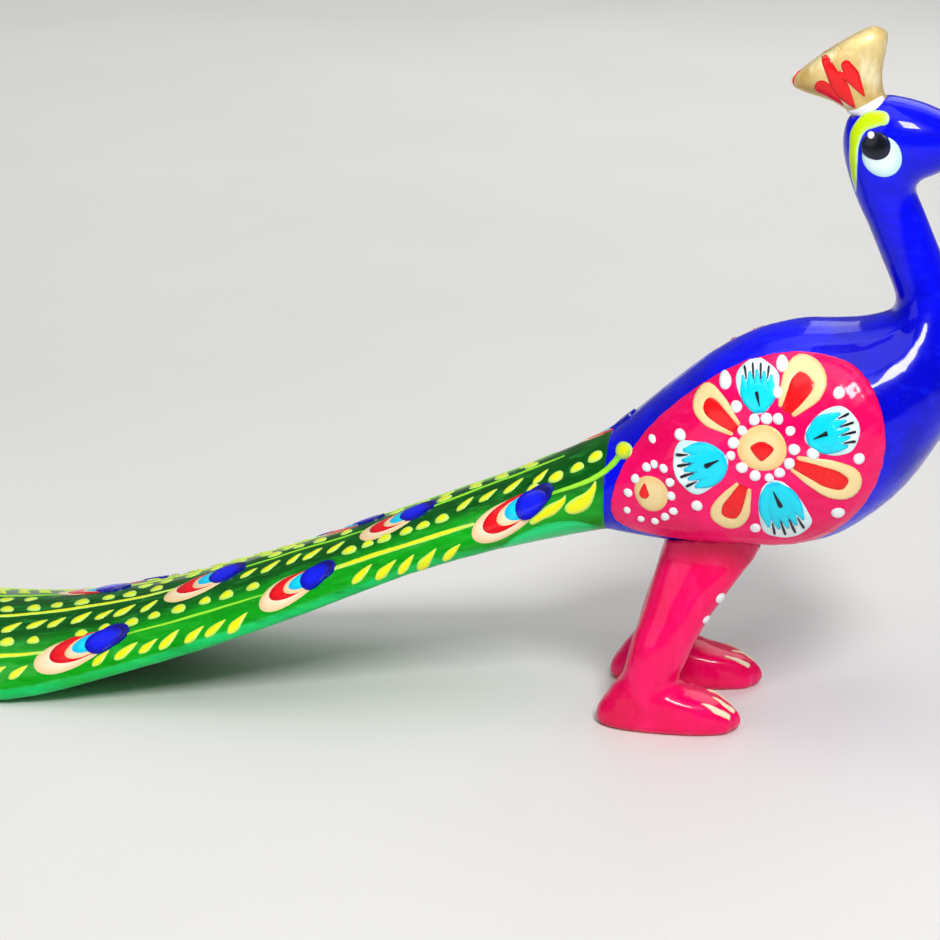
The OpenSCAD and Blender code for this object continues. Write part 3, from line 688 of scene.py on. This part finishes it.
# tail: four feather shafts with eyes, leaves on the outer side and drops on the inner side
# every place is (distance back from the root, sideways from the middle)
tailDrawing = {
    "rows": {
        "a": [(0, -6.8), (2.4, -7.6), (8.5, -8.2), (20.4, -10.2), (31.9, -10.5), (41.4, -10.4), (55.2, -12.0),
              (69.3, -12.7), (91.8, -15.0), (110, -15.9), (128.5, -16.9)],
        "b": [(0, -2.4), (9.6, -1.8), (17.5, -1.4), (28.4, -2.4), (39.3, -2.6), (48.8, -1.6), (60.2, -1.8),
              (72.2, -3.2), (84.3, -3.2), (101.2, -4.5), (128.5, -5.6)],
        "c": [(0, 2.6)] + [(d, 4.0 + 0.014 * d) for d in (10, 28, 47, 66, 84, 104, 128.5)],
    },
    # eyes: start and end of the long axis, half width
    "eyes": {
        "a": [((8.6, -8.8), (20.6, -11.1), 3.2), ((43.0, -10.3), (54.6, -13.2), 3.3),
              ((76.8, -12.9), (91.2, -16.9), 3.7), ((111.2, -15.6), (124.6, -18.6), 3.7)],
        "b": [((28.4, -1.7), (40.2, -4.2), 3.2), ((60.0, -1.4), (72.4, -5.4), 3.7),
              ((103.6, -4.0), (116.6, -7.0), 3.7)],
        "c": [((38.0, 3.6), (49.0, 6.0), 3.2), ((82.0, 4.8), (95.0, 8.6), 3.7)],
        "d": [((8.6, 8.8), (20.6, 11.1), 3.1), ((46.0, 10.8), (57.4, 13.6), 3.3),
              ((76.0, 12.9), (90.0, 16.6), 3.6), ((110.0, 15.6), (123.0, 18.4), 3.6)],
    },
    # coats of one eye: colour, from and to as shares of its length, share of its width, coats below it,
    # sideways shift, lift
    "eyeCoats": [("cream", 0.1, 1.0, 1.0, 0, 0.06, 0.13), ("red", 0.1, 0.84, 0.8, 1.7, -0.1, 0.1),
                 ("cream", 0.08, 0.66, 0.66, 2.8, -0.02, 0.1), ("cyan", 0.04, 0.57, 0.6, 3.9, -0.08, 0.1),
                 ("navy", -0.06, 0.3, 0.7, 5.0, -0.1, 0.07), ("blue", 0.02, 0.43, 0.74, 6.0, 0.04, 0.1)],
    # shaft stretches: from, to, half width, colour
    "shafts": {
        "a": [(20.0, 43.6, 0.62, "yellow"), (53.4, 77.6, 0.34, "lime"),
              (90.0, 112.0, 0.66, "yellow"), (123.5, 129.5, 0.5, "yellow")],
        "b": [(7.0, 29.2, 0.42, "lime"), (39.0, 60.6, 0.32, "lime"),
              (71.0, 104.5, 0.55, "yellow"), (116.0, 129.5, 0.4, "lime")],
        "c": [(9.0, 38.5, 0.42, "lime"), (48.0, 83.0, 0.4, "yellow"), (94.0, 129.5, 0.5, "lime")],
        "d": [(21.0, 46.5, 0.6, "yellow"), (56.0, 76.5, 0.36, "lime"),
              (88.5, 110.5, 0.62, "yellow"), (122.0, 129.5, 0.5, "yellow")],
    },
    # leaf and drop runs: first distance, step, how many, how far from the shaft, length, kind
    "runs": {
        "a": [(23.6, 3.4, 5, -2.6, 3.9, "leaf"), (57.1, 3.7, 7, -3.4, 4.0, "leaf"),
              (93.4, 3.6, 5, -3.2, 4.0, "leaf"), (126.4, 3.2, 1, -2.6, 3.2, "leaf"),
              (1.4, 3.2, 4, 1.2, 2.6, "drop"), (25.6, 3.05, 6, 3.1, 2.5, "drop"),
              (56.3, 4.05, 8, 2.8, 2.6, "drop"), (93.0, 4.0, 5, 3.2, 2.6, "drop"),
              (113.6, 3.8, 4, 3.4, 2.6, "drop")],
        "b": [(10.6, 4.0, 4, -3.6, 3.6, "leaf"), (43.6, 3.6, 5, -2.9, 3.5, "leaf"),
              (74.6, 3.85, 8, -3.7, 3.9, "leaf"), (119.6, 3.8, 3, -3.4, 3.6, "leaf"),
              (12.6, 4.6, 4, 1.7, 2.6, "drop"), (43.0, 4.0, 4, 1.9, 2.5, "drop"),
              (75.0, 4.25, 7, 2.2, 2.7, "drop"), (108.4, 4.2, 5, 2.3, 2.6, "drop")],
        "c": [(12.5, 4.0, 6, 3.1, 3.5, "leaf"), (52.0, 3.8, 8, 3.4, 3.8, "leaf"),
              (98.0, 3.8, 8, 3.5, 3.8, "leaf"), (13.5, 4.3, 6, -2.2, 2.6, "drop"),
              (53.0, 4.2, 7, -2.6, 2.7, "drop"), (98.5, 4.1, 7, -2.7, 2.7, "drop")],
        "d": [(24.5, 3.4, 6, 2.6, 3.9, "leaf"), (60.0, 3.7, 4, 3.4, 4.0, "leaf"),
              (92.0, 3.6, 5, 3.2, 4.0, "leaf"), (125.5, 3.2, 1, 2.6, 3.2, "leaf"),
              (25.6, 3.2, 6, -3.0, 2.5, "drop"), (59.0, 4.05, 4, -2.8, 2.6, "drop"),
              (91.0, 4.0, 5, -3.2, 2.6, "drop"), (112.0, 3.8, 4, -3.4, 2.6, "drop")],
    },
    "kinds": {"leaf": {"slant": 44, "fat": 0.24},
              "drop": {"slant": 34, "fat": 0.34, "long": 0.48, "wide": 0.41}},
}
tailDrawing["rows"]["d"] = [(d, -y) for d, y in tailDrawing["rows"]["a"]]

# the skin of the tail in slices 1 mm apart; past whole its feather tips part, and the last whole slice
# serves there too
tailSkin = {"slices": 132, "first": 0.4, "whole": 125, "heart": 0.75, "fan": 96, "step": 4}


# the tail is drawn on its own skin: x is the distance back from the root, y the way round from the crown
class TailPanel(Panel):
    def __init__(self, wood):
        Panel.__init__(self, "tail_paint", [wood], (tailRoot, 0, 0), (0, 0, -1), (-1, 0, 0), (0, 1, 0))
        self.slices = []
        for d in range(tailSkin["slices"]):
            back = max(tailSkin["first"], d)
            x = tailRoot - min(back, tailSkin["whole"]) * mm
            crown = self.tree.ray_cast(Vector((x, 0, 0.1)), Vector((0, 0, -1)))[0]
            below = self.tree.ray_cast(Vector((x, 0, -0.1)), Vector((0, 0, 1)))[0]
            heart = crown.lerp(below, tailSkin["heart"])
            spots = []
            for degree in range(-tailSkin["fan"], tailSkin["fan"] + 1, tailSkin["step"]):
                ray = Vector((0, math.sin(math.radians(degree)), math.cos(math.radians(degree))))
                spots.append(self.tree.ray_cast(heart + ray * 0.06, -ray)[0] or spots[-1])
            spots = np.array(spots) + (tailRoot - back * mm - x, 0, 0)
            run = np.append(0, np.linalg.norm(np.diff(spots, axis=0), axis=1).cumsum()) / mm
            self.slices.append((run - np.interp(0, spots[:, 1], run), spots))

    def land(self, x, y):
        x = min(max(x, 0), tailSkin["slices"] - 1.001)
        near = []
        for run, spots in self.slices[int(x):int(x) + 2]:
            near.append(Vector([np.interp(y, run, spots[:, k]) for k in range(3)]))
        return self.tree.find_nearest(near[0].lerp(near[1], x % 1))[:2]

    # the way round to a spot that lies y mm beside the middle
    def round(self, x, y):
        run, spots = self.slices[int(min(max(x, 0), tailSkin["slices"] - 1))]
        middle = slice(int(spots[:, 1].argmin()), int(spots[:, 1].argmax()) + 1)
        return float(np.interp(y * mm, spots[middle, 1], run[middle]))


tailPanel = TailPanel(tail)

# how far round each spot of the tail is, from the crown out to its lower edge, made less near the
# root, where there is no pale rim
rootFade = {"passes": 8, "less": 0.16, "over": 24}
points = cornersOf(tailMesh)
distance = (tailRoot - points[:, 0]) / mm
slices = distance.astype(int).clip(0, tailSkin["slices"] - 1)
share = np.zeros(len(points))
for d in range(tailSkin["slices"]):
    run, spots = tailPanel.slices[d]
    here = np.nonzero(slices == d)[0]
    away = np.linalg.norm(points[here, None, 1:] - spots[None, :, 1:], axis=2)
    share[here] = np.abs(run[away.argmin(1)]) / np.abs(run[[0, -1]]).min()
share = relax(np.stack([share] * 3, 1), edgesOf(tailMesh), rootFade["passes"])[:, 0]
share -= rootFade["less"] * np.clip(1 - distance / rootFade["over"], 0, 1)
mark(tailMesh, "outward", share)


def alongRow(row, distance):
    line = np.array(tailDrawing["rows"][row])
    return float(np.interp(distance, line[:, 0], line[:, 1]))


# a shaft is drawn in one pull, a little uneven
def featherShaft(panel, row, start, end, half, colour):
    spots = np.linspace(start, end, max(3, int((end - start) / 4)))
    line = [(d, panel.round(d, alongRow(row, d)) + 0.08 * math.sin(d)) for d in spots]
    widths = [half * (0.9 + 0.14 * math.sin(1.7 * d)) for d in spots]
    widths[0], widths[-1] = 0.5 * half, 0.75 * half
    panel.stroke(colour, line, widths, 0.14, 0, 5, int((end - start) * 1.6))


# one feather eye: cream, red, cream, cyan and two blue ovals laid over each other along a line
def featherEye(panel, x0, y0, x1, y1, half):
    long = math.hypot(x1 - x0, y1 - y0)
    ca, sa = (x1 - x0) / long, (y1 - y0) / long
    outer = 1 if y0 > 0 else -1
    for colour, t0, t1, share, coat, shift, lift in tailDrawing["eyeCoats"]:
        t, sideways = long * (t0 + t1) / 2, shift * half * outer
        panel.dab(colour, x0 + ca * t - sa * sideways, y0 + sa * t + ca * sideways, long * (t1 - t0) / 2,
                  half * share, math.degrees(math.atan2(sa, ca)), lift, coat, 30, 6, 0.12)


# leaves or drops beside a shaft, each slanting in towards it, no two quite alike
def leafRun(panel, row, first, step, many, off, long, kind):
    look = tailDrawing["kinds"][kind]
    for k in range(many):
        d = first + step * k + 0.25 * math.sin(2.3 * k + first)
        y = panel.round(d, alongRow(row, d) + off * (1 + 0.05 * math.sin(3.1 * k + off)))
        length = long * (1 + 0.1 * math.sin(2.7 * k + first))
        slant = math.radians(look["slant"]) + 0.12 * math.sin(1.9 * k + 3 * off)
        dx, dy = -math.cos(slant), -math.copysign(1, off) * math.sin(slant)
        line = [(d + dx * length * t + 0.12 * dy * t * t, y + dy * length * t)
                for t in (-0.5, -0.22, 0.1, 0.5)]
        fat = length * look["fat"]
        if kind == "leaf":
            panel.stroke("yellow", line, [0.25 * fat, fat, 0.74 * fat, 0.05], 0.2, 0.4, 6, 12)
        else:
            heading = math.degrees(math.atan2(dy, dx))
            panel.dab("yellow", d, y, look["long"] * length, look["wide"] * length, heading, 0.22, 0.4,
                      squash=-0.3)
            panel.stroke("yellow", line[2:], [0.22 * fat, 0.03], 0.12, 0.4, 4, 6)


for row, shafts in tailDrawing["shafts"].items():
    for shaft in shafts:
        featherShaft(tailPanel, row, *shaft)
for row, eyes in tailDrawing["eyes"].items():
    for (x0, y0), (x1, y1), half in eyes:
        featherEye(tailPanel, x0, tailPanel.round(x0, y0), x1, tailPanel.round(x1, y1), half)
for row, runs in tailDrawing["runs"].items():
    for run in runs:
        leafRun(tailPanel, row, *run)
tailPanel.finish()
print("tail painted")

# an emerald leaf low on each side of the tail's root
rootLeaf = {"line": [(0.8, 31.2), (5.1, 31.4), (11.3, 29.9), (16.5, 27.4)], "widths": [0.3, 1.9, 1.7, 0.2]}
for side, handed in bothSides:
    under = Panel("tail_root_%s" % side, [tail], (tailRoot, 0, 0), (0, handed, 0), (-1, 0, 0), (0, 0, 1))
    under.stroke("emerald", rootLeaf["line"], rootLeaf["widths"], 0.14, 0, 6, 18)
    under.finish()

# the far middle row's first eye lies half on the body
rootEye = {"line": (-3.0, 2.6, 5.6, 4.4), "half": 2.7}
saddle = Panel("root_eye", [torso, tail], (tailRoot, 0, 0), (0, 0, -1), (-1, 0, 0), (0, 1, 0), 100)
featherEye(saddle, *rootEye["line"], rootEye["half"])
saddle.finish()

# yellow bud that bridges body, wing and tail, with its stem and two broad leaves
budLook = {"spot": (-10.6, 44.6), "radius": 1.5,
           "stem": [(-21.9, 36.9), (-18.0, 38.45), (-15.7, 39.55), (-13.7, 40.9), (-12.2, 42.4),
                    (-11.2, 43.9)],
           "stemWidths": [0.28, 0.4, 0.46, 0.52, 0.58, 0.6],
           "leaves": [([(-19.5, 34.5), (-18.2, 34.9), (-16.4, 36.1), (-15.2, 38.0), (-14.8, 39.5)],
                       [0.5, 1.25, 1.2, 0.55, 0.06]),
                      ([(-24.9, 31.9), (-23.4, 33.0), (-21.2, 34.6), (-19.9, 35.8), (-19.4, 36.9)],
                       [0.45, 0.7, 0.95, 0.5, 0.05])]}
for side, handed in bothSides:
    bud = Panel("root_bud_%s" % side, [torso, tail, wings[side]], (hips, -8.5 * handed * mm, 0),
                (0, handed, -0.32), (1, 0, 0), (0, 0, 1))
    bud.stroke("lime", budLook["stem"], budLook["stemWidths"], 0.16, 0, 5, 36)
    for line, widths in budLook["leaves"]:
        bud.stroke("yellow", line, widths, 0.2, 0.4, 7, 22)
    x, z = budLook["spot"]
    bud.dab("yellow", x, z, budLook["radius"], lift=0.4)
    bud.finish()
print("root of the tail painted")

# head: white of the eye, pupil, glint and a lime brow on each side
# the eye is placed from the back and the top of the head's box, and the rest from the eye
faceLook = {"eye": (4.98, 6.47), "pupil": 2.1, "white": (0.95, -1.56, 3.0), "glint": (-0.73, 1.52, 0.52),
            "brow": [(1.7, 3.75), (0.2, 3.9), (-1.7, 3.2), (-2.95, 1.5), (-3.25, -1.0), (-3.1, -4.2),
                     (-2.65, -7.7)],
            "browWidths": [0.9, 1.1, 1.1, 0.88, 0.68, 0.5, 0.06]}
for side, handed in bothSides:
    spot = (headLow.x + faceLook["eye"][0] * mm, 0, headHigh.z - faceLook["eye"][1] * mm)
    face = Panel("face_%s" % side, [head], spot, (0, handed, 0), (1, 0, 0), (0, 0, 1))
    x, y, radius = faceLook["white"]
    face.dab("fringe", x, y, radius, lift=0.2, around=36, rings=6)
    face.dab("black", 0, 0, faceLook["pupil"], lift=0.3, coat=3.0, around=32, rings=6)
    x, y, radius = faceLook["glint"]
    face.dab("white", x, y, radius, lift=0.12, coat=6.6)
    face.stroke("brow", faceLook["brow"], faceLook["browWidths"], 0.24, 0, 8, 40, 3)
    face.finish()

# crest: red flame strokes on each side, a white collar at its foot, and a red tip with a cream middle
crestPaint = {"flames": [([(16.9, 105.0), (18.6, 101.9), (20.0, 99.6), (21.9, 97.2)], [0.5, 1.1, 1.25, 0.08]),
                         ([(19.9, 104.4), (21.3, 101.9), (23.2, 99.0)], [0.7, 1.1, 0.08]),
                         ([(15.9, 100.8), (17.7, 99.7), (20.2, 97.4)], [1.1, 1.0, 0.08]),
                         ([(19.0, 102.4), (20.6, 101.8)], [0.8, 0.7])],
              "collar": ([(20.6, 96.45), (22.2, 96.7), (24.0, 97.6), (25.9, 98.85)], [0.3, 0.5, 0.66, 0.45]),
              "tip": (100.9, 1.0, 1.5)}
for side, handed in bothSides:
    start, look = (hips, -0.5 * handed * mm, 0), (0, handed, 0)
    plume = Panel("crest_%s" % side, [crest], start, look, (1, 0, 0), (0, 0, 1))
    for line, widths in crestPaint["flames"]:
        plume.stroke("red", line, widths, 0.12, 0.2, 6, 18, 3)
    plume.finish()
    collar = Panel("crest_collar_%s" % side, [crest, head], start, look, (1, 0, 0), (0, 0, 1))
    line, widths = crestPaint["collar"]
    collar.stroke("white", line, widths, 0.24, 0, 6, 20)
    collar.finish()
tipPanel = Panel("crest_tip", [crest], (crestLow.x, 0, 0), (1, 0, 0), (0, 1, 0), (0, 0, 1))
z, wide, tall = crestPaint["tip"]
tipPanel.dab("red", 0, z, wide, tall, lift=0.16)
tipPanel.dab("cream", 0, z + 0.2, 0.4 * wide, 0.5 * tall, lift=0.08, coat=2.8)
tipPanel.finish()
print("head and crest painted")

# legs: white dots down the outer front of each leg and cream stripes on the toes
# dots are (x, height, radius), and each side's stripes start some way ahead
legPaintwork = {"dots": [(1.5, 21.7, 1.0), (-0.75, 18.3, 0.78)],
                "ahead": {"right": 0, "left": 1.5},
                "stripes": [([(5.7, 9.7), (8.1, 10.4), (10.4, 10.1)], [0.15, 0.5, 0.55]),
                            ([(4.3, 12.6), (7.2, 12.5), (10.0, 11.6)], [0.15, 0.5, 0.5]),
                            ([(4.6, 7.0), (7.3, 7.3), (9.8, 7.9)], [0.15, 0.45, 0.45])]}
for side, handed in bothSides:
    shin = Panel("leg_%s_dots" % side, [legs[side]], (hips, 0, 0), (-0.35, 0.94 * handed, 0),
                 (1, 0, 0), (0, 0, 1))
    for x, z, radius in legPaintwork["dots"]:
        shin.dab("white", x, z, radius, lift=0.3)
    shin.finish()
    toes = Panel("toes_%s" % side, [legs[side]], (hips, 0, 8.5 * mm), (-0.42, 0, -0.9),
                 (1, 0, 0), (0, 1, 0), 0)
    ahead = legPaintwork["ahead"][side]
    for line, widths in legPaintwork["stripes"]:
        toes.stroke("cream", [(x + ahead, -handed * y) for x, y in line], widths, 0.2, 0, 6, 18)
    toes.finish()
print("legs painted")


# bare wood pegs and steel brads inside the joints
def pegWood():
    pot = PaintPot("peg_wood")
    rings = pot.node("TexWave", {"wave_type": "RINGS", "rings_direction": "X"},
                     {"Vector": pot.place, "Scale": 380, "Distortion": 3.0, "Detail": 3})
    pores = pot.clouds(1, 3, 0.6, pot.stretched((300, 2600, 2600)))
    colour = pot.mix(rings * 0.6, (0.62, 0.42, 0.22), (0.42, 0.25, 0.11))
    colour = pot.mix(pot.between(pores, 0.6, 0.8) * 0.5, colour, (0.25, 0.13, 0.05))
    look = {"coat": 0.0, "bump": 0.4, "depth": 0.1}
    return pot.coat(colour, 0.55 + 0.2 * pores, rings * 0.4 + pores, look)


def bradSteel():
    pot = PaintPot("brad_steel")
    scratch = pot.clouds(1, 3, 0.6, pot.stretched((3000, 260, 3000)))
    stain = pot.clouds(700, 3)
    colour = pot.mix(stain, (0.36, 0.35, 0.34), (0.6, 0.59, 0.57))
    look = {"coat": 0.0, "metal": 1.0, "bump": 0.2, "depth": 0.05}
    return pot.coat(colour, 0.28 + 0.25 * stain, scratch, look)


woodFinish, steelFinish = pegWood(), bradSteel()
for nodeName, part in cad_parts.items():
    if nodeName.endswith(("_peg", "_pegs")) or nodeName.startswith(("leg_peg", "wing_brads")):
        finish = steelFinish if "brads" in nodeName else woodFinish
        if not part.material_slots:
            part.data.materials.append(finish)
        for hold in part.material_slots:
            hold.material = finish

# pale floor, a hair below the soles
floorLook = {"half": 4, "below": 0.02 * mm, "deep": (0.7, 0.69, 0.67), "light": (0.76, 0.75, 0.73),
             "coat": 0.0, "bump": 0.05, "depth": 0.2}
half = floorLook["half"]
ground = bpy.data.meshes.new("floor")
ground.from_pydata([(x * half, y * half, 0) for x, y in ((-1, -1), (1, -1), (1, 1), (-1, 1))], [],
                   [(0, 1, 2, 3)])
floor = bpy.data.objects.new("floor", ground)
floor.location.z = -floorLook["below"]
scene.collection.objects.link(floor)
pot = PaintPot("pale_floor")
patches = pot.clouds(9, 3)
plaster = pot.mix(patches, floorLook["deep"], floorLook["light"])
ground.materials.append(pot.coat(plaster, 0.5 + 0.1 * patches, pot.clouds(400, 2), floorLook))
print("floor laid")
